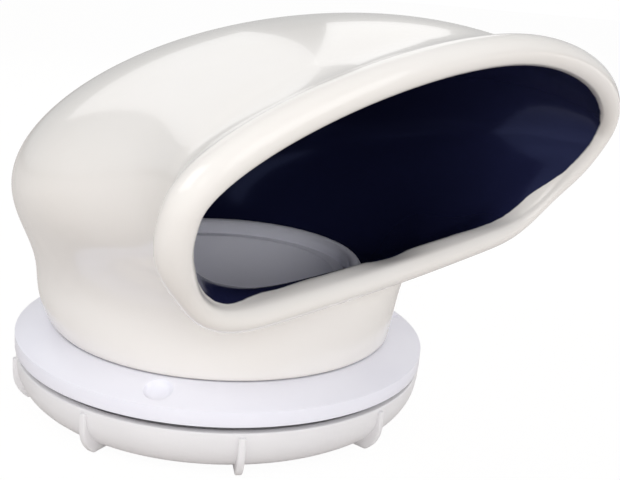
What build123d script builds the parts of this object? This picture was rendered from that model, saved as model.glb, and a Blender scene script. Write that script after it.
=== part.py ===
"""Low-profile deck ventilator: a soft cowl that swivels on a deck ring, and the ring nut that
clamps the deck ring through the deck.

Millimetres, +Z up. The origin is on the axis of the ring, on the plane where the flange meets
the deck. The mouth of the cowl faces -Y, and the plane X = 0 is the cowl's plane of symmetry.
"""
from build123d import *
import math
import os

os.makedirs("parts", exist_ok=True)

# Throat, collar and snap of the deck ring, each radius set out from the bore
BORE_R = 44.0
BORE_EDGE = 1.0
LEDGE_WIDTH = 5.0
LEDGE_Z = 31.5
COLLAR_BEAD = 3.0
COLLAR_RISE = 6.0
COLLAR_R = BORE_R + LEDGE_WIDTH + 2 * COLLAR_BEAD
SNAP_STEP = 2.0
SNAP_R = COLLAR_R + SNAP_STEP
SNAP_RIDGE = 2.6
SNAP_RIDGE_H = 1.5

# Spigot and flange of the deck ring
SPIGOT_STEP = 4.0
SPIGOT_R = SNAP_R + SPIGOT_STEP
SPIGOT_LENGTH = 19.0
SPIGOT_LEAD = 1.2
RING_WALL = 3.0
FLANGE_WIDTH = 21.0
FLANGE_R = SPIGOT_R + FLANGE_WIDTH
FLANGE_RIM_H = 5.4
FLANGE_EDGE = 1.2
SEAT_Z = 10.0
SEAT_STEP = 0.6
SEAL_GROOVE_IN = 4.0
SEAL_GROOVE_WIDTH = 11.0
SEAL_GROOVE_DEPTH = 4.0
SEAL_GROOVE_OUT_DEPTH = 3.0
SCREW_MARK_COUNT = 3
SCREW_MARK_SET_IN = 7.4
SCREW_MARK_DIA = 11.0
SCREW_MARK_DEPTH = 2.6
SCREW_MARK_TAPER = 35.0
SCREW_MARK_TURN = 176.5

# Clearances
SWIVEL_GAP = 0.4
SEAT_GAP = 0.3
THREAD_GAP = 0.4
DECK_GAP = 2.5

# Ring nut
NUT_SET_IN = 0.5
NUT_R = FLANGE_R - NUT_SET_IN
NUT_RIM_H = 3.0
NUT_HEIGHT = 16.0
NUT_BOWL = 8.5
NUT_HUB_WALL = 3.6
NUT_WALL = 3.2
NUT_EDGE = 0.8
RIB_COUNT = 9
RIB_TURN = -1.5
RIB_WIDTH = 2.6
RIB_PROUD = 1.3
RIB_TOP_DROP = 1.2
RIB_STRAIGHT = 6.0
RIB_FOOT = 1.8
RIB_FOOT_SET_IN = 4.2
RIB_FOOT_LENGTH = 10.3

# Cowl
COWL_WALL = 3.5
FOOT_WIDTH = 11.2
FOOT_R = SNAP_R + FOOT_WIDTH
FOOT_H = 6.3
FOOT_FLARE = 3.0
LIP_R = 4.9
LIP_OUT = 3.4
LIP_BURY = 0.4

# How far a cut runs past the face that it opens
OVERCUT = 2.0

# Hood of the cowl, as control sections that fan out from a line across the front of the neck. Each
# row: angle of the section; height of its fan line above the foot, distance of its near and far
# edge from that line, and half width, all as shares of FOOT_R; level of the widest place; and the
# fullness of its near and far half, which is ROUND for an ellipse and more for a squarer curve.
# The last row is the mouth.
FAN = 1.11
ROUND = 0.5523
HOOD = (
    (2, 0.32, 0.03, 2.45, 1.15, 0.56, 0.50, 0.58),
    (-7, 0.48, 0.01, 1.88, 0.75, 0.44, 0.54, 0.45),
    (11, 0.41, 0.06, 2.56, 1.52, 0.64, 0.52, 0.55),
    (29, 0.38, 0.09, 2.57, 1.68, 0.60, 0.53, 0.55),
    (50, 0.36, 0.11, 1.89, 1.36, 0.40, 0.58, 0.44),
    (75, 0.37, 0.16, 1.49, 1.35, 0.41, 0.67, 0.45),
    (89, 0.43, 0.22, 1.57, 1.68, 0.45, 0.78, 0.53),
    (114, 0.43, 0.20, 1.39, 1.80, 0.53, 0.76, 0.47),
)

foot_z = SEAT_Z + SEAT_GAP
foot_top_z = foot_z + FOOT_H
fan_y = -FAN * FOOT_R


def fan_plane(angle, height):
    """Plane of a hood section: local X is across the cowl, local Y runs away from the fan line."""
    a = math.radians(angle)
    normal = Vector(0, -math.sin(a), math.cos(a))
    return Plane(origin=(0, fan_y, height), x_dir=(1, 0, 0), z_dir=normal)


def foot_row(height, radius):
    """Round control section at the foot."""
    return (0, height, -fan_y - radius, -fan_y + radius, radius, 0.5, ROUND, ROUND)


def hood_row(angle, height, near, far, half, *fullness):
    """Control section of the hood in millimetres."""
    return (angle, foot_z + height * FOOT_R, near * FOOT_R, far * FOOT_R, half * FOOT_R, *fullness)


def quarters(near, far, half, level, low, high, grow=0.0):
    """Control points of the four curves round a section, from its near edge and back to it."""
    middle = near + level * (far - near)
    near, far, half = near - grow, far + grow, half + grow
    down, up = low * (middle - near), high * (far - middle)
    return (
        ((0, near), (low * half, near), (half, middle - down), (half, middle)),
        ((half, middle), (half, middle + up), (high * half, far), (0, far)),
        ((0, far), (-high * half, far), (-half, middle + up), (-half, middle)),
        ((-half, middle), (-half, middle - down), (-low * half, near), (0, near)),
    )


def hood_solid(rows, grow=0.0, mouth_grow=0.0):
    """Closed solid of four smooth patches over the control rows, with a flat foot and mouth."""
    nets = [[], [], [], []]
    for row in rows:
        plane = fan_plane(*row[:2])
        row_grow = mouth_grow if row is rows[-1] else grow
        for net, curve in zip(nets, quarters(*row[2:], row_grow)):
            net.append([plane.from_local_coords(Vector(x, y, 0)) for x, y in curve])
    sides = [Face.make_bezier_surface(net) for net in nets]
    foot = Face(Wire([Edge.make_bezier(*net[0]) for net in nets]))
    mouth = Face(Wire([Edge.make_bezier(*net[-1]) for net in nets]))
    return Solid(Shell(sides + [foot, mouth]))


def outward(angle):
    """Level direction out from the ring's axis, turned by an angle in degrees from the front."""
    a = math.radians(angle)
    return Vector(math.sin(a), -math.cos(a), 0)


hood = [hood_row(*row) for row in HOOD]
mouth_row = hood[-1]

with BuildPart() as cowl:
    add(hood_solid([foot_row(foot_z, FOOT_R)] + hood))
    # The hollow starts at the top of the foot, and its edge at the mouth is buried in the lip
    hollow_rows = [foot_row(foot_top_z, FOOT_R + FOOT_FLARE)] + hood
    add(hood_solid(hollow_rows, -COWL_WALL, LIP_OUT - LIP_R + LIP_BURY), mode=Mode.SUBTRACT)
    # Hole in the foot, which snaps over the collar and turns on it
    with BuildSketch(Plane.XY.offset(foot_z - OVERCUT)):
        Circle(SNAP_R + SWIVEL_GAP)
    extrude(amount=FOOT_H + 2 * OVERCUT, mode=Mode.SUBTRACT)
    # Rolled lip round the mouth
    with BuildLine(fan_plane(*mouth_row[:2])) as lip:
        for points in quarters(*mouth_row[2:], grow=LIP_OUT):
            Bezier(*points)
    with BuildSketch(Plane(origin=lip.line @ 0, z_dir=lip.line % 0)):
        Circle(LIP_R)
    sweep(path=lip.line)
cowl.part.label = "cowl"
export_step(cowl.part, "parts/cowl.step")

ridge_r = SNAP_R + SNAP_RIDGE
ridge_z = foot_top_z + SEAT_GAP
spigot_z = -SPIGOT_LENGTH
seat_r = FOOT_R + SEAT_STEP
rim_slope = math.atan2(SEAT_Z - FLANGE_RIM_H, FLANGE_R - seat_r)
rim_edge = (FLANGE_R - FLANGE_EDGE, FLANGE_RIM_H + FLANGE_EDGE * math.tan(rim_slope))
collar_in_r = BORE_R + LEDGE_WIDTH
collar_top_z = LEDGE_Z + COLLAR_RISE
bead_z = collar_top_z - COLLAR_BEAD
groove_in_r = SPIGOT_R + SEAL_GROOVE_IN
groove_out_r = groove_in_r + SEAL_GROOVE_WIDTH
mark_r = FLANGE_R - SCREW_MARK_SET_IN
mark_top_z = FLANGE_RIM_H + SCREW_MARK_SET_IN * math.tan(rim_slope)

with BuildPart() as deck_ring:
    with BuildSketch(Plane.XZ):
        with BuildLine():
            Polyline(
                (BORE_R, spigot_z),
                (SPIGOT_R - SPIGOT_LEAD, spigot_z),
                (SPIGOT_R, spigot_z + SPIGOT_LEAD),
                (SPIGOT_R, 0),
                (FLANGE_R - FLANGE_EDGE / 2, 0),
                (FLANGE_R, FLANGE_EDGE / 2),
                (FLANGE_R, FLANGE_RIM_H - FLANGE_EDGE),
            )
            TangentArc((FLANGE_R, FLANGE_RIM_H - FLANGE_EDGE), rim_edge, tangent=(0, 1))
            Polyline(
                rim_edge,
                (seat_r, SEAT_Z),
                (SNAP_R, SEAT_Z),
                (SNAP_R, ridge_z),
                (ridge_r, ridge_z),
                (ridge_r, ridge_z + SNAP_RIDGE_H),
                (COLLAR_R, ridge_z + SNAP_RIDGE_H + 2 * SNAP_RIDGE),
                (COLLAR_R, bead_z),
            )
            ThreePointArc(
                (COLLAR_R, bead_z), (COLLAR_R - COLLAR_BEAD, collar_top_z), (collar_in_r, bead_z)
            )
            Polyline(
                (collar_in_r, bead_z),
                (collar_in_r, LEDGE_Z),
                (BORE_R + BORE_EDGE, LEDGE_Z),
                (BORE_R, LEDGE_Z - BORE_EDGE),
                (BORE_R, spigot_z),
            )
        make_face()
        # The moulding is cored out from below, between the bore and the spigot
        with BuildLine():
            Polyline(
                (BORE_R + RING_WALL, spigot_z - OVERCUT),
                (SPIGOT_R - RING_WALL, spigot_z - OVERCUT),
                (SPIGOT_R - RING_WALL, SEAT_Z - 2 * RING_WALL),
                (COLLAR_R - RING_WALL, SEAT_Z - RING_WALL),
                (COLLAR_R - RING_WALL, LEDGE_Z - 2 * RING_WALL),
                (COLLAR_R - 2 * RING_WALL, LEDGE_Z - RING_WALL),
                (BORE_R + RING_WALL, LEDGE_Z - RING_WALL),
                close=True,
            )
        make_face(mode=Mode.SUBTRACT)
        # Groove for the bedding compound under the flange
        with BuildLine():
            Polyline(
                (groove_in_r, -OVERCUT),
                (groove_out_r, -OVERCUT),
                (groove_out_r, SEAL_GROOVE_OUT_DEPTH),
                (groove_in_r, SEAL_GROOVE_DEPTH),
                close=True,
            )
        make_face(mode=Mode.SUBTRACT)
    revolve(axis=Axis.Z)
    # Blind marks where screws may be driven: a tapered dimple, and the slope above it cut away
    for i in range(SCREW_MARK_COUNT):
        out = outward(SCREW_MARK_TURN + 360 * i / SCREW_MARK_COUNT)
        at = out * mark_r + Vector(0, 0, mark_top_z)
        with BuildSketch(Plane(origin=at, x_dir=out, z_dir=(0, 0, -1))):
            Circle(SCREW_MARK_DIA / 2)
        extrude(amount=SCREW_MARK_DEPTH, taper=SCREW_MARK_TAPER, mode=Mode.SUBTRACT)
        with BuildSketch(Plane(origin=at, x_dir=out, z_dir=(0, 0, 1))):
            Circle(SCREW_MARK_DIA / 2)
        extrude(amount=SCREW_MARK_DIA / 2, mode=Mode.SUBTRACT)
deck_ring.part.label = "deck_ring"
export_step(deck_ring.part, "parts/deck_ring.step")

nut_top_z = -DECK_GAP
nut_low_z = nut_top_z - NUT_HEIGHT
nut_rim_z = nut_top_z - NUT_RIM_H
nut_bore_r = SPIGOT_R + THREAD_GAP
hub_r = nut_bore_r + NUT_HUB_WALL
nut_bottom_r = NUT_R - NUT_BOWL
rib_r = NUT_R + RIB_PROUD
rib_out_r = NUT_R - RIB_FOOT_SET_IN
rib_in_r = rib_out_r - RIB_FOOT_LENGTH

with BuildPart() as clamp_nut:
    with BuildSketch(Plane.XZ):
        with BuildLine():
            Polyline(
                (nut_bottom_r, nut_low_z),
                (nut_bore_r, nut_low_z),
                (nut_bore_r, nut_top_z),
                (NUT_R - NUT_EDGE, nut_top_z),
                (NUT_R, nut_top_z - NUT_EDGE),
                (NUT_R, nut_rim_z),
            )
            TangentArc((NUT_R, nut_rim_z), (nut_bottom_r, nut_low_z), tangent=(0, -1))
        make_face()
        # The nut is cored out from above, so that it is a channel of even wall
        with BuildLine():
            Polyline(
                (hub_r, nut_top_z + OVERCUT),
                (NUT_R - NUT_WALL, nut_top_z + OVERCUT),
                (NUT_R - NUT_WALL, nut_rim_z),
                (nut_bottom_r - NUT_WALL, nut_low_z + NUT_WALL),
                (hub_r, nut_low_z + NUT_WALL),
                close=True,
            )
        make_face(mode=Mode.SUBTRACT)
    revolve(axis=Axis.Z)
    # Grip ribs, rooted halfway into the bowl's wall, which turn in under it
    root = NUT_WALL / 2
    rib_top_z = nut_top_z - RIB_TOP_DROP
    rib_bend_z = rib_top_z - RIB_STRAIGHT
    rib_low_z = nut_low_z - RIB_FOOT
    for i in range(RIB_COUNT):
        out = outward(RIB_TURN + 360 * i / RIB_COUNT)
        with BuildSketch(Plane(origin=(0, 0, 0), x_dir=out, z_dir=out.cross(Vector(0, 0, 1)))):
            with BuildLine():
                Polyline((NUT_R - root, rib_top_z), (rib_r, rib_top_z), (rib_r, rib_bend_z))
                TangentArc((rib_r, rib_bend_z), (rib_out_r, rib_low_z), tangent=(0, -1))
                Polyline(
                    (rib_out_r, rib_low_z),
                    (rib_in_r, rib_low_z),
                    (rib_in_r, nut_low_z + root),
                    (nut_bottom_r - root, nut_low_z + root),
                    (NUT_R - root, nut_rim_z),
                    (NUT_R - root, rib_top_z),
                )
            make_face()
        extrude(amount=RIB_WIDTH / 2, both=True)
clamp_nut.part.label = "clamp_nut"
export_step(clamp_nut.part, "parts/clamp_nut.step")
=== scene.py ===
"""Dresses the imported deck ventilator: a glossy cowl, a deck ring and a ring nut on a pale floor.

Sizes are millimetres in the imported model's own frame and become metres where a mesh is made. The
mouth of the cowl faces -Y, and Z runs up the axis of the ring.
"""
import logging
import math
from dataclasses import dataclass, replace
from enum import Enum

import bmesh
import bpy
import numpy as np
from mathutils import Matrix, Vector


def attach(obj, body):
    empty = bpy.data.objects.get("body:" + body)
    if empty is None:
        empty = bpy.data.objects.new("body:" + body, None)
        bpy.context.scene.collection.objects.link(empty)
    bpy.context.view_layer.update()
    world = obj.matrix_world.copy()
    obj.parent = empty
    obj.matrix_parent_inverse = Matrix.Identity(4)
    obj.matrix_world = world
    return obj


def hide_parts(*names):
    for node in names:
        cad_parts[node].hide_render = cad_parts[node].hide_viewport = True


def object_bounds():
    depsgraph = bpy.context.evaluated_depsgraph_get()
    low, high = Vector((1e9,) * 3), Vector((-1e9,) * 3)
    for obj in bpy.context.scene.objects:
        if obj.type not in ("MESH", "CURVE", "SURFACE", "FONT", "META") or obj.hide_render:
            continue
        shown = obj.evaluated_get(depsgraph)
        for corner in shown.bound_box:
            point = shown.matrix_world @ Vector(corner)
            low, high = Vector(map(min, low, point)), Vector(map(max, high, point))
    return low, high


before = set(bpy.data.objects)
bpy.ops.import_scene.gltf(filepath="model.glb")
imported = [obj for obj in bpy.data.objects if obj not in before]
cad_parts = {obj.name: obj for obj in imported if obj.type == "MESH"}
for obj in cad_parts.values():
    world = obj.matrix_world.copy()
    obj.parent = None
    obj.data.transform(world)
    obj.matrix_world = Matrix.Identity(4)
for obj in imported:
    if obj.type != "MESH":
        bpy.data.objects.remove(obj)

MM = 0.001
# Where the middle control points of a cubic curve lie, so that it makes a quarter of a circle.
ROUND = 0.5523
CAD_BOX = [list(corner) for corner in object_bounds()]
WHITE = (1.0, 1.0, 1.0, 1.0)

log = logging.getLogger("deck_ventilator")

Profile = list[tuple[float, float]]
Pushes = tuple[np.ndarray, np.ndarray]
Colour = tuple[float, float, float, float]
Place = tuple[float, float, float]
Sockets = tuple[tuple[str, str], ...]


class Node(Enum):
    """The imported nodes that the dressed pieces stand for."""

    COWL = "cowl"
    DECK_RING = "deck_ring"
    CLAMP_NUT = "clamp_nut"


class Body(Enum):
    """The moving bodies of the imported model."""

    COWL = "cowl_body"
    RING = "ring_body"
    NUT = "nut_body"


class Blend(Enum):
    """How a tool changes the piece that it meets."""

    CUT = "DIFFERENCE"
    FUSE = "UNION"


def deselect() -> None:
    """Leaves edit mode and clears the selection."""
    if bpy.context.object and bpy.context.object.mode != "OBJECT":
        bpy.ops.object.mode_set(mode="OBJECT")
    bpy.ops.object.select_all(action="DESELECT")


def activate(piece: bpy.types.Object) -> None:
    """Selects one piece and makes it the active one.

    Args:
        piece: The piece that the next operators act on.
    """
    deselect()
    piece.select_set(True)
    bpy.context.view_layer.objects.active = piece


def apply_modifier(piece: bpy.types.Object, kind: str, **settings: object) -> None:
    """Adds a modifier to a piece and applies it.

    Args:
        piece: The piece to change.
        kind: The modifier's type.
        **settings: Values for the modifier's own fields.
    """
    activate(piece)
    modifier = piece.modifiers.new(kind.title(), kind)
    for field, value in settings.items():
        setattr(modifier, field, value)
    bpy.ops.object.modifier_apply(modifier=modifier.name)


def soften(piece: bpy.types.Object, edge: float, angle: float = 35.0, segments: int = 3) -> None:
    """Rounds the sharp edges of a moulding.

    Args:
        piece: The piece to round.
        edge: Width of the rounding in millimetres.
        angle: Edges that turn by more degrees than this are rounded.
        segments: Faces across each rounding.
    """
    apply_modifier(
        piece, "BEVEL", width=edge * MM, segments=segments, limit_method="ANGLE",
        angle_limit=math.radians(angle), miter_outer="MITER_ARC",
    )


def smooth_by_angle(piece: bpy.types.Object, angle: float = 40.0) -> None:
    """Shades a piece smooth, apart from edges sharper than an angle.

    Args:
        piece: The piece to shade.
        angle: The angle in degrees.
    """
    activate(piece)
    bpy.ops.object.shade_smooth_by_angle(angle=math.radians(angle))


def trace(name: str, profile: Profile) -> bpy.types.Object:
    """Draws a profile in the plane Y = 0, by extruding one vertex from point to point.

    Args:
        name: Name of the new object.
        profile: Radius and height of each point, in millimetres.

    Returns:
        The object, left in edit mode with the whole profile selected.
    """
    deselect()
    bpy.ops.mesh.primitive_plane_add(size=MM, location=(0, 0, 0))
    piece = bpy.context.object
    piece.name = name
    bpy.ops.object.mode_set(mode="EDIT")
    bpy.ops.mesh.merge(type="CENTER")
    at = (0.0, 0.0)
    for i, point in enumerate(profile):
        step = ((point[0] - at[0]) * MM, 0.0, (point[1] - at[1]) * MM)
        if i == 0:
            bpy.ops.transform.translate(value=step)
        else:
            bpy.ops.mesh.extrude_region_move(TRANSFORM_OT_translate={"value": step})
        at = point
    bpy.ops.mesh.select_all(action="SELECT")
    bpy.ops.mesh.remove_doubles(threshold=0.001 * MM)
    bpy.ops.mesh.select_all(action="SELECT")
    return piece


def lathe(name: str, profile: Profile, steps: int, ring: bool = True) -> bpy.types.Object:
    """Spins a profile round the Z axis into a closed solid.

    Args:
        name: Name of the new object.
        profile: Radius and height of each point, in millimetres.
        steps: Number of faces round the axis.
        ring: Whether the profile is closed to make a ring. Otherwise it starts and ends on the
            axis.

    Returns:
        The solid, in object mode.
    """
    piece = trace(name, profile + profile[:1] if ring else profile)
    bpy.ops.mesh.spin(steps=steps, angle=2 * math.pi, center=(0, 0, 0), axis=(0, 0, 1))
    bpy.ops.mesh.select_all(action="SELECT")
    bpy.ops.mesh.remove_doubles(threshold=0.002 * MM)
    bpy.ops.mesh.select_all(action="SELECT")
    bpy.ops.mesh.normals_make_consistent(inside=False)
    bpy.ops.object.mode_set(mode="OBJECT")
    return piece


def coil(name: str, profile: Profile, pitch: float, turns: int, steps: int) -> bpy.types.Object:
    """Winds a closed profile up the Z axis as a screw thread with capped ends.

    Args:
        name: Name of the new object.
        profile: Radius and height of each point of the ridge, in millimetres.
        pitch: Rise of one turn in millimetres.
        turns: Number of turns.
        steps: Number of faces in one turn.

    Returns:
        The thread, in object mode.
    """
    piece = trace(name, profile + profile[:1])
    bpy.ops.object.mode_set(mode="OBJECT")
    apply_modifier(
        piece, "SCREW", axis="Z", angle=2 * math.pi, screw_offset=pitch * MM, iterations=turns,
        steps=steps, render_steps=steps, use_merge_vertices=False,
    )
    bpy.ops.object.mode_set(mode="EDIT")
    bpy.ops.mesh.select_all(action="DESELECT")
    bpy.ops.mesh.select_mode(type="EDGE")
    bpy.ops.mesh.select_non_manifold()
    bpy.ops.mesh.edge_face_add()
    bpy.ops.mesh.select_all(action="SELECT")
    bpy.ops.mesh.normals_make_consistent(inside=False)
    bpy.ops.mesh.select_mode(type="VERT")
    bpy.ops.object.mode_set(mode="OBJECT")
    return piece


def turned_copy(piece: bpy.types.Object, angle: float) -> bpy.types.Object:
    """Copies a piece, with its own mesh, turned about the Z axis.

    Args:
        piece: The piece to copy.
        angle: The turn in degrees, from above anticlockwise.

    Returns:
        The copy.
    """
    copy = piece.copy()
    copy.data = piece.data.copy()
    bpy.context.collection.objects.link(copy)
    copy.data.transform(Matrix.Rotation(math.radians(angle), 4, "Z"))
    return copy


def combine(piece: bpy.types.Object, tool: bpy.types.Object, how: Blend) -> None:
    """Cuts a tool out of a piece, or fuses it to the piece, and removes the tool.

    Args:
        piece: The piece that is kept.
        tool: The piece that is used up.
        how: Whether the tool cuts or is fused.
    """
    apply_modifier(piece, "BOOLEAN", object=tool, operation=how.value, solver="EXACT")
    bpy.data.objects.remove(tool)


def join(pieces: list[bpy.types.Object]) -> bpy.types.Object:
    """Joins several pieces into the first one.

    Args:
        pieces: The pieces to join.

    Returns:
        The first piece, which now holds them all.
    """
    activate(pieces[0])
    for piece in pieces[1:]:
        piece.select_set(True)
    bpy.ops.object.join()
    return pieces[0]


def ease(share: np.ndarray) -> np.ndarray:
    """Turns a straight rise from 0 to 1 into a smooth one, level at both ends.

    Args:
        share: Places on the rise, which may lie beyond its ends.

    Returns:
        The smooth rise at each place.
    """
    share = np.clip(share, 0.0, 1.0)
    return share * share * (3 - 2 * share)


class Tree:
    """A node tree that is filled from left to right."""

    def __init__(self, tree: bpy.types.NodeTree) -> None:
        """Takes over an empty tree.

        Args:
            tree: The tree of a material, a world or a group.
        """
        self.tree = tree
        self.column = 0

    def add(self, kind: str, **values: object) -> bpy.types.Node:
        """Adds a node and sets its fields and sockets.

        Args:
            kind: The node's type.
            **values: Fields by their own name; sockets by their name in lower case with
                underscores; a socket of another node is linked.

        Returns:
            The new node.
        """
        node = self.tree.nodes.new(kind)
        node.location = (220 * self.column, 0)
        self.column += 1
        for key, value in values.items():
            socket = self.socket(node, key)
            if socket is None:
                setattr(node, key, value)
            elif isinstance(value, bpy.types.NodeSocket):
                self.tree.links.new(value, socket)
            else:
                socket.default_value = value
        return node

    @staticmethod
    def socket(node: bpy.types.Node, key: str) -> bpy.types.NodeSocket | None:
        """Finds an input by its name, or by its number where the key ends in one.

        Args:
            node: The node.
            key: The name in lower case with underscores, or input_N.

        Returns:
            The socket, or None where the node has no such input.
        """
        if key.startswith("input_"):
            return node.inputs[int(key.split("_")[1])]
        for socket in node.inputs:
            if socket.enabled and socket.name.lower().replace(" ", "_") == key:
                return socket
        return None


def empty_group(name: str, takes: Sockets, gives: Sockets) -> Tree:
    """Starts a node group with its sockets.

    Args:
        name: Name of the group.
        takes: Name and type of each input.
        gives: Name and type of each output.

    Returns:
        The tree of the group.
    """
    group = bpy.data.node_groups.new(name, "ShaderNodeTree")
    for sockets, side in ((takes, "INPUT"), (gives, "OUTPUT")):
        for socket, kind in sockets:
            group.interface.new_socket(socket, in_out=side, socket_type=kind)
    return Tree(group)


def empty_material(name: str) -> tuple[bpy.types.Material, Tree]:
    """Starts a material without nodes.

    Args:
        name: Name of the material.

    Returns:
        The material, and its tree.
    """
    material = bpy.data.materials.new(name)
    material.use_nodes = True
    material.node_tree.nodes.clear()
    return material, Tree(material.node_tree)


class UnevenGloss:
    """Shared effect: the faint unevenness of moulded plastic in tint, gloss and surface."""

    NAME = "uneven_gloss"
    TAKES = (
        ("Vector", "NodeSocketVector"), ("Colour", "NodeSocketColor"),
        ("Shade", "NodeSocketColor"), ("Blotch", "NodeSocketFloat"),
        ("Roughness", "NodeSocketFloat"), ("Roughness Spread", "NodeSocketFloat"),
    )
    GIVES = (
        ("Colour", "NodeSocketColor"), ("Roughness", "NodeSocketFloat"),
        ("Height", "NodeSocketFloat"),
    )
    GRAIN = 900.0
    SHADE_FROM, SHADE_FULL = 0.35, 0.75
    BROAD_SWELL = 4.0

    @classmethod
    def group(cls) -> bpy.types.NodeTree:
        """Builds the group once.

        Returns:
            The group.
        """
        if cls.NAME in bpy.data.node_groups:
            return bpy.data.node_groups[cls.NAME]
        tree = empty_group(cls.NAME, cls.TAKES, cls.GIVES)
        given = tree.add("NodeGroupInput").outputs
        broad = tree.add(
            "ShaderNodeTexNoise", vector=given["Vector"], scale=given["Blotch"], detail=3.0,
            roughness=0.5,
        )
        fine = tree.add(
            "ShaderNodeTexNoise", vector=given["Vector"], scale=cls.GRAIN, detail=2.0,
            roughness=0.6,
        )
        patch = tree.add(
            "ShaderNodeMapRange", value=broad.outputs[0], from_min=cls.SHADE_FROM,
            from_max=cls.SHADE_FULL, interpolation_type="SMOOTHSTEP",
        )
        colour = tree.add(
            "ShaderNodeMix", data_type="RGBA", factor=patch.outputs[0], a=given["Colour"],
            b=given["Shade"],
        )
        spread = tree.add(
            "ShaderNodeMath", operation="MULTIPLY_ADD", input_0=fine.outputs[0],
            input_1=given["Roughness Spread"], input_2=given["Roughness"],
        )
        height = tree.add(
            "ShaderNodeMath", operation="MULTIPLY_ADD", input_0=broad.outputs[0],
            input_1=cls.BROAD_SWELL, input_2=fine.outputs[0],
        )
        tree.add(
            "NodeGroupOutput", colour=colour.outputs[2], roughness=spread.outputs[0],
            height=height.outputs[0],
        )
        return tree.tree


class PaintedCreaseShade:
    """Shared effect: painted shade, a thin warm line where two mouldings meet or a corner is deep."""

    NAME = "settled_dust"
    TAKES = (
        ("Vector", "NodeSocketVector"), ("Colour", "NodeSocketColor"),
        ("Dust", "NodeSocketColor"), ("Reach", "NodeSocketFloat"),
        ("Amount", "NodeSocketFloat"),
    )
    GIVES = (("Colour", "NodeSocketColor"),)
    OPEN, DEEP = 0.55, 0.1
    GRAIN = 260.0

    @classmethod
    def group(cls) -> bpy.types.NodeTree:
        """Builds the group once.

        Returns:
            The group.
        """
        if cls.NAME in bpy.data.node_groups:
            return bpy.data.node_groups[cls.NAME]
        tree = empty_group(cls.NAME, cls.TAKES, cls.GIVES)
        given = tree.add("NodeGroupInput").outputs
        # Ambient occlusion finds the creases and deep corners where shade falls, and a warm colour is
        # painted there as shade.
        corner = tree.add("ShaderNodeAmbientOcclusion", samples=6, distance=given["Reach"])
        deep = tree.add(
            "ShaderNodeMapRange", value=corner.outputs["AO"], from_min=cls.OPEN, from_max=cls.DEEP,
        )
        grain = tree.add(
            "ShaderNodeTexNoise", vector=given["Vector"], scale=cls.GRAIN, detail=4.0,
            roughness=0.7,
        )
        shade_mask = tree.add(
            "ShaderNodeMath", operation="MULTIPLY", input_0=deep.outputs[0],
            input_1=grain.outputs[0],
        )
        amount = tree.add(
            "ShaderNodeMath", operation="MULTIPLY", use_clamp=True, input_0=shade_mask.outputs[0],
            input_1=given["Amount"],
        )
        colour = tree.add(
            "ShaderNodeMix", data_type="RGBA", factor=amount.outputs[0], a=given["Colour"],
            b=given["Dust"],
        )
        tree.add("NodeGroupOutput", colour=colour.outputs[2])
        return tree.tree


@dataclass(frozen=True)
class PlasticFinish:
    """A moulded plastic with a faint unevenness and painted shade in its corners."""

    name: str
    colour: Colour
    shade: Colour
    roughness: float
    roughness_spread: float
    coat: float
    coat_roughness: float
    blotch: float
    bump: float
    # Painted shade: colour, reach and amount of the warm shade painted into creases and deep corners.
    dust: Colour = (0.42, 0.38, 0.33, 1.0)
    dust_reach: float = 0.004
    dust_amount: float = 0.35

    BUMP_HEIGHT = 0.0002
    IOR = 1.5

    def material(self) -> bpy.types.Material:
        """Builds the material.

        Returns:
            The new material.
        """
        material, tree = empty_material(self.name)
        place = tree.add("ShaderNodeTexCoord").outputs["Object"]
        surface, colour = self.surface(tree, place)
        self.shader(tree, surface, self.add_painted_shade(tree, place, colour))
        return material

    def surface(
        self, tree: Tree, place: bpy.types.NodeSocket
    ) -> tuple[bpy.types.Node, bpy.types.NodeSocket]:
        """Adds the uneven plastic.

        Args:
            tree: The material's tree.
            place: The coordinates.

        Returns:
            The group node, and the socket of its colour.
        """
        node = tree.add(
            "ShaderNodeGroup", node_tree=UnevenGloss.group(), vector=place, colour=self.colour,
            shade=self.shade, blotch=self.blotch, roughness=self.roughness,
            roughness_spread=self.roughness_spread,
        )
        return node, node.outputs["Colour"]

    def add_painted_shade(
        self, tree: Tree, place: bpy.types.NodeSocket, colour: bpy.types.NodeSocket
    ) -> bpy.types.NodeSocket:
        """Adds painted shade in creases and deep corners over a colour.

        Args:
            tree: The material's tree.
            place: The coordinates.
            colour: The colour before the painted shade.

        Returns:
            The colour with its painted shade.
        """
        node = tree.add(
            "ShaderNodeGroup", node_tree=PaintedCreaseShade.group(), vector=place, colour=colour,
            dust=self.dust, reach=self.dust_reach, amount=self.dust_amount,
        )
        return node.outputs["Colour"]

    def shader(
        self, tree: Tree, surface: bpy.types.Node, colour: bpy.types.NodeSocket
    ) -> bpy.types.Node:
        """Adds the shader and the output.

        Args:
            tree: The material's tree.
            surface: The uneven plastic's group node.
            colour: The final colour.

        Returns:
            The shader node.
        """
        bump = tree.add(
            "ShaderNodeBump", height=surface.outputs["Height"], strength=self.bump,
            distance=self.BUMP_HEIGHT,
        )
        shader = tree.add(
            "ShaderNodeBsdfPrincipled", base_color=colour, roughness=surface.outputs["Roughness"],
            normal=bump.outputs[0], coat_weight=self.coat, coat_roughness=self.coat_roughness,
            ior=self.IOR,
        )
        tree.add("ShaderNodeOutputMaterial", surface=shader.outputs[0])
        return shader


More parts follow.
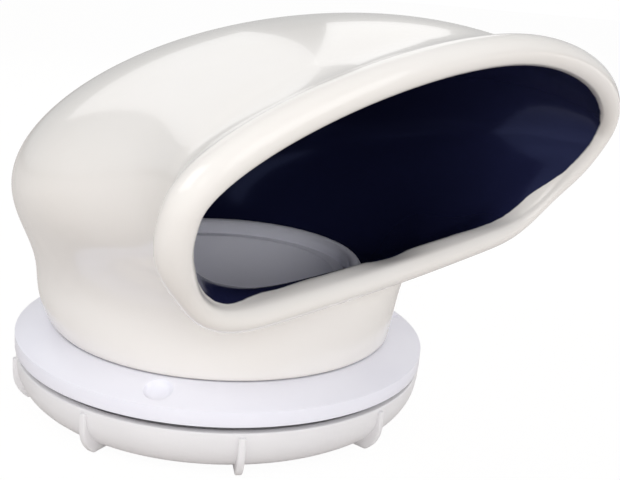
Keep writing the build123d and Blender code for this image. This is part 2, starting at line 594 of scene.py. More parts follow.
@dataclass(frozen=True)
class CowlFinish(PlasticFinish):
    """The cowl's cream gloss, with navy paint inside that stops at an uneven edge.

    The paint starts paint_edge millimetres inside the front of the lip. On the sill it starts up
    to bare_sill millimetres further in: this grows across the cowl from sill_start to sill_end,
    and fades with height from sill_low to sill_high, all four in metres.
    """

    paint: Colour = (0.012, 0.014, 0.046, 1.0)
    paint_gloss: float = 0.4
    paint_sheen: Colour = (0.4, 0.5, 1.0, 1.0)
    paint_edge: float = 7.6
    paint_wander: float = 1.6
    paint_blur: float = 0.35
    bare_sill: float = 6.0
    sill_start: float = -0.094
    sill_end: float = -0.07
    sill_low: float = 0.062
    sill_high: float = 0.076

    WANDER_GRAIN = 55.0
    BARE_SPECULAR = 0.5

    def material(self) -> bpy.types.Material:
        """Builds the material.

        Returns:
            The new material.
        """
        material, tree = empty_material(self.name)
        place = tree.add("ShaderNodeTexCoord").outputs["Object"]
        surface, colour = self.surface(tree, place)
        cream = self.add_painted_shade(tree, place, colour)
        inward = tree.add("ShaderNodeAttribute", attribute_name=Cowl.INWARD)
        wander = tree.add(
            "ShaderNodeTexNoise", vector=place, scale=self.WANDER_GRAIN, detail=3.0,
            roughness=0.6,
        )
        shifted = tree.add(
            "ShaderNodeMath", operation="MULTIPLY_ADD", input_0=wander.outputs[0],
            input_1=-2 * self.paint_wander, input_2=inward.outputs["Fac"],
        )
        axes = tree.add("ShaderNodeSeparateXYZ", vector=place).outputs
        sill = tree.add(
            "ShaderNodeMapRange", value=axes["X"], from_min=self.sill_start,
            from_max=self.sill_end, to_min=0.0, to_max=-self.bare_sill,
            interpolation_type="SMOOTHSTEP",
        )
        low = tree.add(
            "ShaderNodeMapRange", value=axes["Z"], from_min=self.sill_high,
            from_max=self.sill_low, interpolation_type="SMOOTHSTEP",
        )
        deep = tree.add(
            "ShaderNodeMath", operation="MULTIPLY_ADD", input_0=sill.outputs[0],
            input_1=low.outputs[0], input_2=shifted.outputs[0],
        )
        start = self.paint_edge - self.paint_wander
        painted = tree.add(
            "ShaderNodeMapRange", value=deep.outputs[0], from_min=start - self.paint_blur,
            from_max=start + self.paint_blur,
        )
        both = tree.add(
            "ShaderNodeMix", data_type="RGBA", factor=painted.outputs[0], a=cream, b=self.paint,
        )
        shader = self.shader(tree, surface, both.outputs[2])
        for socket, bare, dark in (
            ("Specular IOR Level", self.BARE_SPECULAR, self.paint_gloss),
            ("Coat Weight", self.coat, 0.0),
        ):
            level = tree.add(
                "ShaderNodeMapRange", value=painted.outputs[0], to_min=bare, to_max=dark
            )
            tree.tree.links.new(level.outputs[0], shader.inputs[socket])
        sheen = tree.add(
            "ShaderNodeMix", data_type="RGBA", factor=painted.outputs[0], a=WHITE,
            b=self.paint_sheen,
        )
        tree.tree.links.new(sheen.outputs[2], shader.inputs["Specular Tint"])
        return material


class Moulding:
    """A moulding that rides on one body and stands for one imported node."""

    NODE: Node
    BODY: Body
    finish: PlasticFinish

    def build(self) -> bpy.types.Object:
        """Models the moulding; each kind has its own way.

        Returns:
            The piece.
        """
        raise NotImplementedError

    def dress(self, piece: bpy.types.Object) -> None:
        """Gives the piece its finish and lets it stand for its node.

        Args:
            piece: The piece that build made.
        """
        piece.data.materials.append(self.finish.material())
        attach(piece, self.BODY.value)
        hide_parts(self.NODE.value)


@dataclass(frozen=True)
class HoodRow:
    """A control section of the hood, on a plane that fans out from a line across the front.

    The hood's own rows give their lengths as shares of the foot's radius.

    Attributes:
        angle: Turn of the plane about the fan line, in degrees from level.
        fan_height: Height of the fan line above the foot.
        near: Distance from the fan line to the near edge.
        far: Distance from the fan line to the far edge.
        half: Half the width.
        level: Where the section is widest, as a share of the way from near to far.
        low: Fullness of the two curves on the near side.
        high: Fullness of the two curves on the far side.
    """

    angle: float
    fan_height: float
    near: float
    far: float
    half: float
    level: float
    low: float
    high: float

    def scaled(self, foot_r: float, foot_z: float) -> "HoodRow":
        """The same section with its lengths in millimetres.

        Args:
            foot_r: Radius of the foot.
            foot_z: Height of the foot, from which the fan line's height counts.

        Returns:
            The scaled section.
        """
        return replace(
            self, fan_height=foot_z + self.fan_height * foot_r, near=self.near * foot_r,
            far=self.far * foot_r, half=self.half * foot_r,
        )

    def quarters(self, grow: float) -> list[list[tuple[float, float]]]:
        """Control points of the four curves round the section.

        Args:
            grow: How far the section is grown outwards, in millimetres.

        Returns:
            Four lists of points, across the cowl and away from the fan line.
        """
        middle = self.near + self.level * (self.far - self.near)
        near, far, half = self.near - grow, self.far + grow, self.half + grow
        down, up = self.low * (middle - near), self.high * (far - middle)
        right = [
            [(0, near), (self.low * half, near), (half, middle - down), (half, middle)],
            [(half, middle), (half, middle + up), (self.high * half, far), (0, far)],
        ]
        left = [[(-x, y) for x, y in reversed(curve)] for curve in reversed(right)]
        return right + left


@dataclass
class Cowl(Moulding):
    """The soft hood: one moulding with a foot, a neck, a dome and a rolled lip.

    Places round the mouth count in quarters from the middle of its lower edge. Places up the hood
    run from 0 at the foot to 1 at the mouth.
    """

    NODE = Node.COWL
    BODY = Body.COWL

    fan: float = 1.11
    wall: float = 3.5
    foot_z: float = 10.3
    foot_r: float = 68.2
    foot_h: float = 6.3
    foot_top_r: float = 71.2
    hole_r: float = 57.4
    lip_r: float = 4.9
    lip_out: float = 3.4
    # The lip meets the hood this many lip radii from its middle: above, below and inside.
    meet_above: float = 2.8
    meet_below: float = 1.5
    meet_inside: float = 1.25
    below_end: float = 1.15
    below_run: float = 0.5
    # At the mouth's lower corners the lip is slimmer, bulges, and is drawn in beside the bulge.
    lip_pinch: float = 0.3
    pinch_at: float = 0.58
    corner_bulge: float = 3.8
    corner_at: float = 0.43
    cheek_pull: float = 2.4
    cheek_at: float = 0.75
    bend_spread: float = 0.17
    # Behind those corners the wall is fuller.
    pocket: float = 3.2
    pocket_at: float = 0.45
    pocket_spread: float = 0.22
    pocket_from: float = 0.45
    pocket_full: float = 0.8
    hood: tuple[HoodRow, ...] = (
        HoodRow(2, 0.32, 0.03, 2.45, 1.15, 0.56, 0.50, 0.58),
        HoodRow(-7, 0.48, 0.01, 1.88, 0.75, 0.44, 0.54, 0.45),
        HoodRow(11, 0.41, 0.06, 2.56, 1.52, 0.64, 0.52, 0.55),
        HoodRow(29, 0.38, 0.09, 2.57, 1.68, 0.60, 0.53, 0.55),
        HoodRow(50, 0.36, 0.11, 1.89, 1.36, 0.40, 0.58, 0.44),
        HoodRow(75, 0.37, 0.16, 1.49, 1.35, 0.41, 0.67, 0.45),
        HoodRow(89, 0.43, 0.22, 1.57, 1.68, 0.45, 0.78, 0.53),
        HoodRow(114, 0.43, 0.20, 1.39, 1.78, 0.53, 0.76, 0.47),
    )
    quarter_columns: int = 28
    rings: int = 42
    bead_start: float = -75.0
    bead_step: float = 15.0
    search_from: float = 0.5
    search_steps: int = 200
    corner: float = 0.6
    finish: CowlFinish = CowlFinish(
        name="cowl_gloss", colour=(0.86, 0.835, 0.81, 1.0), shade=(0.84, 0.81, 0.775, 1.0),
        roughness=0.16, roughness_spread=0.06, coat=0.5, coat_roughness=0.03, blotch=14.0,
        # The cowl's painted shade in its creases is warmer and reaches further than on the rings.
        bump=0.05, dust=(0.5, 0.41, 0.32, 1.0), dust_reach=0.014, dust_amount=0.8,
    )

    INWARD = "inward"
    COLUMN = "column"

    def foot_row(self, height: float, radius: float) -> HoodRow:
        """A round section at the foot.

        Args:
            height: Its height.
            radius: Its radius.

        Returns:
            The section.
        """
        fan_y = self.fan * self.foot_r
        return HoodRow(0.0, height, fan_y - radius, fan_y + radius, radius, 0.5, ROUND, ROUND)

    def net(self, rows: list[HoodRow], grows: list[float]) -> np.ndarray:
        """Control points of the hood's four patches.

        Args:
            rows: The control sections, foot first.
            grows: How far each is grown outwards.

        Returns:
            Points by row, quarter and place on the quarter.
        """
        points = []
        for row, grow in zip(rows, grows):
            a = math.radians(row.angle)
            points.append([
                [(x, y * math.cos(a) - self.fan * self.foot_r, row.fan_height + y * math.sin(a))
                 for x, y in curve]
                for curve in row.quarters(grow)
            ])
        return np.array(points)

    @staticmethod
    def blend(count: int, t: np.ndarray) -> np.ndarray:
        """Weights of a run of control points.

        Args:
            count: The number of control points.
            t: Places on the run, from 0 to 1.

        Returns:
            One row of weights for each place.
        """
        n = count - 1
        return np.stack(
            [math.comb(n, i) * t**i * (1 - t) ** (n - i) for i in range(count)], axis=-1
        )

    def columns(self, net: np.ndarray) -> np.ndarray:
        """Control points of each column of vertices, from the foot to the mouth.

        Args:
            net: The control points of the four patches.

        Returns:
            Points by row and column.
        """
        s = np.arange(self.quarter_columns) / self.quarter_columns
        around = np.einsum("rqpk,sp->rqsk", net, self.blend(4, s))
        return around.reshape(len(net), -1, 3)

    def climb(self, columns: np.ndarray, pushes: Pushes, t: np.ndarray) -> np.ndarray:
        """Points of each column at its own place between foot and mouth.

        Args:
            columns: Control points by row and column.
            pushes: How far each column is moved below the mouth and at the mouth.
            t: One place for each column.

        Returns:
            One point for each column.
        """
        rise = ease((t - self.pocket_from) / (self.pocket_full - self.pocket_from))[:, None]
        fall = ease((t - self.pocket_full) / (1 - self.pocket_full))[:, None]
        points = np.einsum("cr,rck->ck", self.blend(len(columns), t), columns)
        return points + pushes[0] * rise * (1 - fall) + pushes[1] * fall

    def reach(
        self, columns: np.ndarray, pushes: Pushes, centres: np.ndarray, distance: np.ndarray
    ) -> np.ndarray:
        """How far each column climbs before it comes within a distance of the lip's middle.

        Args:
            columns: Control points by row and column.
            pushes: How far each column is moved below the mouth and at the mouth.
            centres: Middle of the lip for each column.
            distance: The distance for each column, in millimetres.

        Returns:
            One place for each column.
        """
        places = np.linspace(self.search_from, 1.0, self.search_steps + 1)
        found = np.full(columns.shape[1], 1.0)
        open_still = np.ones(columns.shape[1], bool)
        for place in places[::-1]:
            points = self.climb(columns, pushes, np.full(columns.shape[1], place))
            far = np.linalg.norm(points - centres, axis=1) >= distance
            found[open_still & far] = place
            open_still &= ~far
        return found

    def sections(self) -> list[np.ndarray]:
        """Rings of points over the outside, round the lip, down the inside and round the foot.

        Returns:
            One array for each ring, in millimetres.
        """
        hood = [row.scaled(self.foot_r, self.foot_z) for row in self.hood]
        mouth = hood[-1]
        edge = self.lip_out - self.lip_r
        outer_rows = [self.foot_row(self.foot_z, self.foot_r), *hood]
        inner_rows = [self.foot_row(self.foot_z + self.foot_h, self.foot_top_r), *hood]
        outer = self.columns(self.net(outer_rows, [0.0] * len(outer_rows)))
        inner = self.columns(
            self.net(inner_rows, [-self.wall] * (len(inner_rows) - 1) + [edge])
        )
        centres = self.columns(self.net([mouth], [self.lip_out]))[0]
        a = math.radians(mouth.angle)
        ahead = np.array([0.0, -math.sin(a), math.cos(a)])
        along = np.roll(centres, -1, 0) - np.roll(centres, 1, 0)
        out = np.cross(along, ahead)
        out /= np.linalg.norm(out, axis=1, keepdims=True)
        if np.einsum("ck,ck->c", out, centres - centres.mean(0)).mean() < 0:
            out = -out

        pinch, below, pocket, shift = self.lip_weights()
        radius = self.lip_r * (1 - self.lip_pinch * pinch)
        pushes = (out * pocket[:, None], out * shift[:, None])
        centres = centres + pushes[1] - out * (self.lip_r - radius)[:, None]

        rings = []
        meet = self.meet_above + (self.meet_below - self.meet_above) * below
        top = self.reach(outer, pushes, centres, meet * radius)
        for k in range(self.rings + 1):
            rings.append(self.climb(outer, pushes, top * k / self.rings))
        for turn in np.arange(self.bead_start, 180.0 + self.bead_step / 2, self.bead_step):
            b = math.radians(turn)
            spoke = math.cos(b) * out + math.sin(b) * ahead
            rings.append(centres + radius[:, None] * spoke)
        top = self.reach(inner, pushes, centres, self.meet_inside * radius)
        for k in range(self.rings, -1, -1):
            rings.append(self.climb(inner, pushes, top * k / self.rings))
        rings += self.foot_rings()
        return rings

    def lip_weights(self) -> tuple[np.ndarray, np.ndarray, np.ndarray, np.ndarray]:
        """How the lip and the wall behind it differ round the mouth.

        Returns:
            For each column: how slim the lip is and how sharply it meets the neck, from 0 to 1;
            how far the wall behind it and the lip itself are moved out, in millimetres.
        """
        u = np.arange(4 * self.quarter_columns) / self.quarter_columns
        from_bottom = np.minimum(u, 4 - u)
        bend = self.bend_spread
        pinch = self.nearness(from_bottom, self.pinch_at, bend)
        below = ease((self.below_end - from_bottom) / self.below_run)
        pocket = self.pocket * self.nearness(from_bottom, self.pocket_at, self.pocket_spread)
        shift = self.corner_bulge * self.nearness(from_bottom, self.corner_at, bend)
        shift -= self.cheek_pull * self.nearness(from_bottom, self.cheek_at, bend)
        return pinch, below, pocket, shift

    @staticmethod
    def nearness(places: np.ndarray, middle: float, spread: float) -> np.ndarray:
        """How near each place is to a middle, as a smooth hump.

        Args:
            places: The places.
            middle: Where the hump is 1.
            spread: How wide the hump is.

        Returns:
            A share from 0 to 1 for each place.
        """
        return np.exp(-(((places - middle) / spread) ** 2))

    def foot_rings(self) -> list[np.ndarray]:
        """Rings across the top of the foot, down its hole and out along its underside.

        Returns:
            One array for each ring, in millimetres.
        """
        top_z, low_z, c = self.foot_z + self.foot_h, self.foot_z, self.corner
        path = [
            (self.foot_top_r - self.wall - 2 * c, top_z), (self.hole_r + c, top_z),
            (self.hole_r, top_z), (self.hole_r, top_z - c), (self.hole_r, low_z + c),
            (self.hole_r, low_z), (self.hole_r + c, low_z), (self.foot_r - c, low_z),
        ]
        unit = self.columns(self.net([self.foot_row(0.0, 1.0)], [0.0]))[0]
        unit[:, 2] = 0.0
        return [unit * radius + np.array([0.0, 0.0, height]) for radius, height in path]

    def build(self) -> bpy.types.Object:
        """Extrudes the shell ring by ring from a circle at its foot.

        Returns:
            The cowl.
        """
        rings = self.sections()
        deselect()
        bpy.ops.mesh.primitive_circle_add(
            vertices=4 * self.quarter_columns, radius=self.foot_r * MM,
            location=(0, 0, 0),
        )
        piece = bpy.context.object
        piece.name = "cowl_shell"
        mesh = piece.data
        column = mesh.attributes.new(self.COLUMN, "INT", "POINT")
        column.data.foreach_set("value", np.arange(len(mesh.vertices), dtype=np.int32))
        mesh.attributes.new(self.INWARD, "FLOAT", "POINT")
        bpy.ops.object.mode_set(mode="EDIT")
        bpy.ops.mesh.select_all(action="SELECT")
        bead_front = self.rings + 1 + round((90 - self.bead_start) / self.bead_step)
        run = np.zeros(len(rings[0]))
        runs = []
        for k, ring in enumerate(rings):
            if k:
                run = run + np.linalg.norm(ring - rings[k - 1], axis=1)
            runs.append(run)
        for k, ring in enumerate(rings):
            if k:
                bpy.ops.mesh.extrude_region_move()
            self.place_ring(mesh, ring, runs[k] - runs[bead_front])
        bpy.ops.mesh.select_all(action="DESELECT")
        bpy.ops.mesh.select_mode(type="EDGE")
        bpy.ops.mesh.select_non_manifold()
        bpy.ops.mesh.bridge_edge_loops()
        bpy.ops.mesh.select_mode(type="VERT")
        bpy.ops.mesh.select_all(action="SELECT")
        bpy.ops.mesh.normals_make_consistent(inside=False)
        bpy.ops.object.mode_set(mode="OBJECT")
        apply_modifier(piece, "SUBSURF", levels=1, render_levels=1)
        bpy.ops.object.shade_smooth()
        mesh.attributes.remove(mesh.attributes[self.COLUMN])
        return piece

    def place_ring(self, mesh: bpy.types.Mesh, ring: np.ndarray, inward: np.ndarray) -> None:
        """Moves the selected ring of vertices to its section.

        Args:
            mesh: The cowl's mesh, in edit mode.
            ring: A point for each column, in millimetres.
            inward: How far each point lies inside the front of the lip, in millimetres.
        """
        shape = bmesh.from_edit_mesh(mesh)
        column = shape.verts.layers.int[self.COLUMN]
        depth = shape.verts.layers.float[self.INWARD]
        for vertex in shape.verts:
            if vertex.select:
                place = vertex[column]
                vertex.co = Vector(ring[place] * MM)
                vertex[depth] = inward[place]
        bmesh.update_edit_mesh(mesh)


@dataclass(frozen=True)
class Thread:
    """A coarse screw thread with flat crests, which reaches a little past its root."""

    pitch: float = 4.0
    depth: float = 1.1
    crest: float = 1.0
    root: float = 2.2
    sunk: float = 0.8
    steps: int = 120

    def ridge(self, root_r: float, crest_r: float, low_z: float) -> Profile:
        """Section of the ridge.

        Args:
            root_r: Radius of its root.
            crest_r: Radius of its crest.
            low_z: Height of its lower edge.

        Returns:
            The closed section.
        """
        slope = (self.root - self.crest) / 2
        return [
            (root_r - self.sunk, low_z), (root_r, low_z), (crest_r, low_z + slope),
            (crest_r, low_z + slope + self.crest), (root_r, low_z + self.root),
            (root_r - self.sunk, low_z + self.root),
        ]


@dataclass
class DeckRing(Moulding):
    """The flange with its threaded spigot, its stepped throat and the collar inside the cowl."""

    NODE = Node.DECK_RING
    BODY = Body.RING

    flange_r: float = 82.0
    rim_h: float = 5.4
    seat_z: float = 10.0
    seat_r: float = 68.8
    spigot_r: float = 61.0
    spigot_length: float = 19.0
    wall: float = 3.0
    bore_r: float = 44.0
    ledge_z: float = 31.5
    collar_r: float = 55.0
    collar_top_z: float = 37.5
    collar_bead: float = 3.0
    bead_step: int = 15
    snap_r: float = 57.0
    ridge_r: float = 59.6
    ridge_z: float = 16.9
    ridge_h: float = 1.5
    # Seal groove: its inner and outer radius, and its depth at each.
    groove: tuple[float, float, float, float] = (65.0, 76.0, 4.0, 3.0)
    mark_turns: tuple[float, ...] = (176.5, 296.5, 56.5)
    mark_r: float = 74.6
    mark_dia: float = 10.2
    mark_depth: float = 2.4
    # Radius and depth along the mark's bowl, as shares of its own.
    mark_bowl: tuple[tuple[float, float], ...] = (
        (0.0, 1.0), (0.45, 1.0), (0.72, 0.8), (0.9, 0.4), (1.0, 0.0)
    )
    mark_steps: int = 48
    steps: int = 180
    edge: float = 0.5
    lead_in: float = 0.4
    thread: Thread = Thread()
    thread_start: float = 1.0
    thread_turns: int = 3
    finish: PlasticFinish = PlasticFinish(
        name="ring_satin", colour=(0.87, 0.87, 0.945, 1.0), shade=(0.84, 0.84, 0.925, 1.0),
        roughness=0.3, roughness_spread=0.1, coat=0.15, coat_roughness=0.2, blotch=22.0,
        bump=0.1,
    )

    def profile(self) -> Profile:
        """Section of the ring, from the bore's lower edge and back to it.

        Returns:
            Radius and height of each point.
        """
        low = -self.spigot_length
        core_r = self.spigot_r - self.thread.depth
        bead_z = self.collar_top_z - self.collar_bead
        bead_r = self.collar_r - self.collar_bead
        bead = [
            (bead_r + self.collar_bead * math.cos(math.radians(a)),
             bead_z + self.collar_bead * math.sin(math.radians(a)))
            for a in range(0, 181, self.bead_step)
        ]
        in_r, out_r, in_h, out_h = self.groove
        w = self.wall
        return [
            (self.bore_r, low), (self.bore_r + w, low),
            (self.bore_r + w, self.ledge_z - w), (self.collar_r - 2 * w, self.ledge_z - w),
            (self.collar_r - w, self.ledge_z - 2 * w), (self.collar_r - w, self.seat_z - w),
            (self.spigot_r - w, self.seat_z - 2 * w), (self.spigot_r - w, low),
            (core_r - self.lead_in, low), (core_r, low + 2 * self.lead_in), (core_r, 0.0), (in_r, 0.0),
            (in_r, in_h), (out_r, out_h), (out_r, 0.0), (self.flange_r, 0.0),
            (self.flange_r, self.rim_h), (self.seat_r, self.seat_z), (self.snap_r, self.seat_z),
            (self.snap_r, self.ridge_z), (self.ridge_r, self.ridge_z),
            (self.ridge_r, self.ridge_z + self.ridge_h),
            (self.collar_r, self.ridge_z + self.ridge_h + 2 * (self.ridge_r - self.snap_r)),
            *bead,
            (self.collar_r - 2 * self.collar_bead, self.ledge_z), (self.bore_r, self.ledge_z),
        ]

    def mark_tool(self) -> bpy.types.Object:
        """A rounded cutter for one blind screw mark, at the front of the flange.

        Returns:
            The cutter.
        """
        r, d = self.mark_dia / 2, self.mark_depth
        bowl = [(across * r, -down * d) for across, down in self.mark_bowl]
        tool = lathe("mark_tool", [*bowl, (r, 2 * d), (0.0, 2 * d)], self.mark_steps, ring=False)
        slope = (self.seat_z - self.rim_h) / (self.flange_r - self.seat_r)
        top_z = self.rim_h + (self.flange_r - self.mark_r) * slope
        tilt = Matrix.Rotation(math.atan(slope), 4, "X")
        tool.data.transform(Matrix.Translation((0, -self.mark_r * MM, top_z * MM)) @ tilt)
        return tool

    def build(self) -> bpy.types.Object:
        """Spins the ring, cuts its screw marks, rounds its edges and winds its thread.

        Returns:
            The deck ring.
        """
        piece = lathe("deck_ring_moulding", self.profile(), self.steps)
        tool = self.mark_tool()
        for turn in self.mark_turns:
            combine(piece, turned_copy(tool, turn), Blend.CUT)
        bpy.data.objects.remove(tool)
        soften(piece, self.edge)
        thread = self.thread
        start = self.thread_start - self.spigot_length
        ridge = thread.ridge(self.spigot_r - thread.depth, self.spigot_r, start)
        worm = coil("spigot_thread", ridge, thread.pitch, self.thread_turns, thread.steps)
        join([piece, worm])
        smooth_by_angle(piece)
        return piece


@dataclass
class ClampNut(Moulding):
    """The ring nut: a bowl-shaped channel with grip ribs, threaded inside."""

    NODE = Node.CLAMP_NUT
    BODY = Body.NUT

    top_z: float = -2.5
    height: float = 16.0
    nut_r: float = 81.5
    rim_h: float = 3.0
    bottom_r: float = 73.0
    bore_r: float = 61.4
    hub_wall: float = 3.6
    wall: float = 3.2
    rib_count: int = 9
    rib_turn: float = -1.5
    rib_width: float = 2.6
    rib_r: float = 82.8
    rib_drop: float = 1.2
    rib_straight: float = 6.0
    rib_foot: float = 1.8
    rib_foot_in_r: float = 67.0
    rib_foot_out_r: float = 77.3
    rib_edge: float = 0.6
    rib_runs: int = 8
    bowl_runs: int = 10
    steps: int = 180
    edge: float = 0.5
    thread: Thread = Thread()
    thread_run_out: float = 3.0
    thread_turns: int = 5
    finish: PlasticFinish = PlasticFinish(
        name="nut_satin", colour=(0.81, 0.80, 0.815, 1.0), shade=(0.78, 0.77, 0.785, 1.0),
        roughness=0.36, roughness_spread=0.1, coat=0.05, coat_roughness=0.3, blotch=22.0,
        bump=0.15,
    )

    @staticmethod
    def tangent_arc(
        start: tuple[float, float], end: tuple[float, float], count: int
    ) -> Profile:
        """Points on an arc that leaves its start straight downwards.

        Args:
            start: Radius and height where it starts.
            end: Radius and height where it ends.
            count: Number of runs.

        Returns:
            The points, both ends included.
        """
        dr, dz = start[0] - end[0], start[1] - end[1]
        radius = (dr * dr + dz * dz) / (2 * dr)
        sweep = 2 * math.atan2(dr, dz)
        return [
            (start[0] - radius * (1 - math.cos(sweep * k / count)),
             start[1] - radius * math.sin(sweep * k / count))
            for k in range(count + 1)
        ]

    def profile(self) -> Profile:
        """Section of the nut without its ribs.

        Returns:
            Radius and height of each point.
        """
        low, rim_z = self.top_z - self.height, self.top_z - self.rim_h
        hub_r = self.bore_r + self.hub_wall
        bowl = self.tangent_arc((self.nut_r, rim_z), (self.bottom_r, low), self.bowl_runs)
        return [
            (self.bore_r, low), (self.bore_r, self.top_z), (hub_r, self.top_z),
            (hub_r, low + self.wall), (self.bottom_r - self.wall, low + self.wall),
            (self.nut_r - self.wall, rim_z), (self.nut_r - self.wall, self.top_z),
            (self.nut_r, self.top_z), *bowl,
        ]

    def rib(self) -> bpy.types.Object:
        """One grip rib on the plane Y = 0, rooted halfway into the bowl's wall.

        Returns:
            The rib.
        """
        root = self.wall / 2
        low, rim_z = self.top_z - self.height, self.top_z - self.rim_h
        top = self.top_z - self.rib_drop
        arc = self.tangent_arc(
            (self.rib_r, top - self.rib_straight), (self.rib_foot_out_r, low - self.rib_foot),
            self.rib_runs,
        )
        section = [
            (self.nut_r - root, top), (self.rib_r, top), *arc,
            (self.rib_foot_in_r, low - self.rib_foot), (self.rib_foot_in_r, low + root),
            (self.bottom_r - root, low + root), (self.nut_r - root, rim_z),
        ]
        piece = trace("grip_rib", section + section[:1])
        bpy.ops.mesh.edge_face_add()
        bpy.ops.transform.translate(value=(0, -self.rib_width / 2 * MM, 0))
        bpy.ops.mesh.extrude_region_move(
            TRANSFORM_OT_translate={"value": (0, self.rib_width * MM, 0)}
        )
        bpy.ops.mesh.select_all(action="SELECT")
        bpy.ops.mesh.normals_make_consistent(inside=False)
        bpy.ops.object.mode_set(mode="OBJECT")
        soften(piece, self.rib_edge)
        return piece

    def build(self) -> bpy.types.Object:
        """Spins the nut, rounds it, fuses its ribs and cuts its thread.

        Returns:
            The ring nut.
        """
        piece = lathe("ring_nut_moulding", self.profile(), self.steps)
        soften(piece, self.edge)
        rib = self.rib()
        first = self.rib_turn - 90.0
        ribs = [turned_copy(rib, first + 360.0 * i / self.rib_count) for i in range(self.rib_count)]
        bpy.data.objects.remove(rib)
        combine(piece, join(ribs), Blend.FUSE)
        thread = self.thread
        start = self.top_z - self.height - self.thread_run_out
        groove = thread.ridge(self.bore_r, self.bore_r + thread.depth, start)
        tool = coil("nut_thread_tool", groove, thread.pitch, self.thread_turns, thread.steps)
        combine(piece, tool, Blend.CUT)
        smooth_by_angle(piece)
        return piece


@dataclass(frozen=True)
class SoftBox:
    """A rectangular studio lamp that points at the cowl, and that gloss may mirror or not."""

    name: str
    place: Place
    width: float
    height: float
    power: float
    mirrored: bool = True

    def hang(self, target: Vector) -> None:
        """Adds the lamp to the scene.

        Args:
            target: The point that it faces.
        """
        data = bpy.data.lights.new(self.name, "AREA")
        data.shape = "RECTANGLE"
        data.size, data.size_y = self.width, self.height
        data.energy = self.power
        lamp = bpy.data.objects.new(self.name, data)
        bpy.context.collection.objects.link(lamp)
        place = Vector(self.place)
        aim = (target - place).to_track_quat("-Z", "Y").to_matrix().to_4x4()
        lamp.matrix_world = Matrix.Translation(place) @ aim
        lamp.visible_glossy = self.mirrored


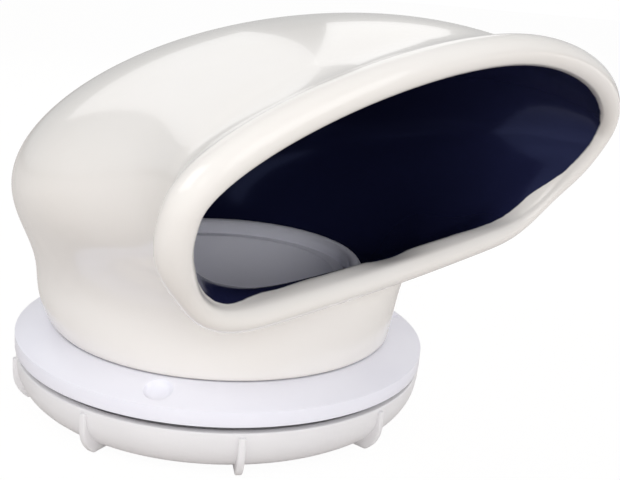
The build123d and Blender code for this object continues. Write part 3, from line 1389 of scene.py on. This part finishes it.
@dataclass
class Studio:
    """The pale floor, the soft lamps and the camera."""

    lens: float = 54.0
    sensor_width: float = 36.0
    clip_start: float = 0.01
    # The camera's place in millimetres; its turn, its tip downwards and its roll in degrees.
    camera_place: Place = (-269.2, -244.5, 141.9)
    camera_turn: float = -53.0
    camera_tip: float = 15.02
    camera_roll: float = 4.76
    floor_size: float = 60.0
    floor_cuts: int = 4
    floor_colour: Colour = (0.7, 0.67, 0.65, 1.0)
    floor_glow: float = 1.04
    floor_glow_share: float = 0.92
    lamp_target: Place = (0.0, -0.02, 0.06)
    lamps: tuple[SoftBox, ...] = (
        SoftBox("key_box", (-0.98, 0.12, 0.85), 0.9, 0.7, 4.0),
        SoftBox("throat_box", (-0.95, -0.94, 0.5), 0.5, 0.4, 5.8, mirrored=False),
        SoftBox("front_box", (0.3, -1.36, 0.42), 1.3, 0.8, 4.0),
        SoftBox("side_box", (1.35, -0.3, 0.3), 0.9, 0.7, 4.2, mirrored=False),
        SoftBox("window_left", (0.47, 1.0, 0.86), 0.85, 0.9, 1.4),
        SoftBox("window_right", (0.96, 0.5, 0.86), 0.5, 0.75, 0.8),
    )
    tent_strength: float = 0.55
    horizon_strength: float = 0.52
    tent_low: float = 0.30
    tent_high: float = 0.37

    def set_floor(self, height: float) -> None:
        """Lays a pale floor that shows almost white and keeps the shadow.

        Args:
            height: Height of the floor in metres.
        """
        deselect()
        bpy.ops.mesh.primitive_grid_add(
            x_subdivisions=self.floor_cuts, y_subdivisions=self.floor_cuts, size=self.floor_size,
            location=(0, 0, height),
        )
        floor = bpy.context.object
        floor.name = "studio_floor"
        material, tree = empty_material("pale_floor")
        seen = tree.add("ShaderNodeLightPath").outputs["Is Camera Ray"]
        glow = tree.add("ShaderNodeEmission", color=WHITE, strength=self.floor_glow)
        matt = tree.add("ShaderNodeBsdfDiffuse", color=self.floor_colour)
        share = tree.add(
            "ShaderNodeMath", operation="MULTIPLY", input_0=seen, input_1=self.floor_glow_share,
        )
        mix = tree.add(
            "ShaderNodeMixShader", fac=share.outputs[0], input_1=matt.outputs[0],
            input_2=glow.outputs[0],
        )
        tree.add("ShaderNodeOutputMaterial", surface=mix.outputs[0])
        floor.data.materials.append(material)

    def light(self) -> None:
        """Hangs the lamps and sets the soft light from all round."""
        for lamp in self.lamps:
            lamp.hang(Vector(self.lamp_target))
        world = bpy.data.worlds.new("studio_world")
        bpy.context.scene.world = world
        world.use_nodes = True
        world.node_tree.nodes.clear()
        tree = Tree(world.node_tree)
        seen = tree.add("ShaderNodeLightPath").outputs["Is Camera Ray"]
        ray = tree.add("ShaderNodeTexCoord").outputs["Generated"]
        height = tree.add("ShaderNodeSeparateXYZ", vector=ray).outputs["Z"]
        tent = tree.add(
            "ShaderNodeMapRange", value=height, from_min=self.tent_low, from_max=self.tent_high,
            to_min=self.horizon_strength, to_max=self.tent_strength,
            interpolation_type="SMOOTHSTEP",
        )
        around = tree.add("ShaderNodeBackground", color=WHITE, strength=tent.outputs[0])
        behind = tree.add("ShaderNodeBackground", color=WHITE, strength=1.0)
        mix = tree.add(
            "ShaderNodeMixShader", fac=seen, input_1=around.outputs[0], input_2=behind.outputs[0]
        )
        tree.add("ShaderNodeOutputWorld", surface=mix.outputs[0])

    def set_camera(self) -> None:
        """Puts the camera where the photograph was taken from."""
        data = bpy.data.cameras.new("studio_camera")
        data.lens = self.lens
        data.sensor_width = self.sensor_width
        data.clip_start = self.clip_start
        camera = bpy.data.objects.new("studio_camera", data)
        bpy.context.collection.objects.link(camera)
        turn = Matrix.Rotation(math.radians(self.camera_turn), 4, "Z")
        tip = Matrix.Rotation(math.radians(90.0 - self.camera_tip), 4, "X")
        roll = Matrix.Rotation(math.radians(self.camera_roll), 4, "Z")
        place = Matrix.Translation(Vector(self.camera_place) * MM)
        camera.matrix_world = place @ turn @ tip @ roll
        bpy.context.scene.camera = camera


def main() -> None:
    """Builds and dresses each piece, then sets up the studio."""
    logging.basicConfig(level=logging.INFO, format="%(name)s: %(message)s")
    for maker in (Cowl(), DeckRing(), ClampNut()):
        piece = maker.build()
        maker.dress(piece)
        log.info("%s: %d faces", piece.name, len(piece.data.polygons))
    studio = Studio()
    studio.set_floor(CAD_BOX[0][2])
    studio.light()
    studio.set_camera()
    bpy.context.scene.view_settings.view_transform = "Standard"


if __name__ == "__main__":
    main()
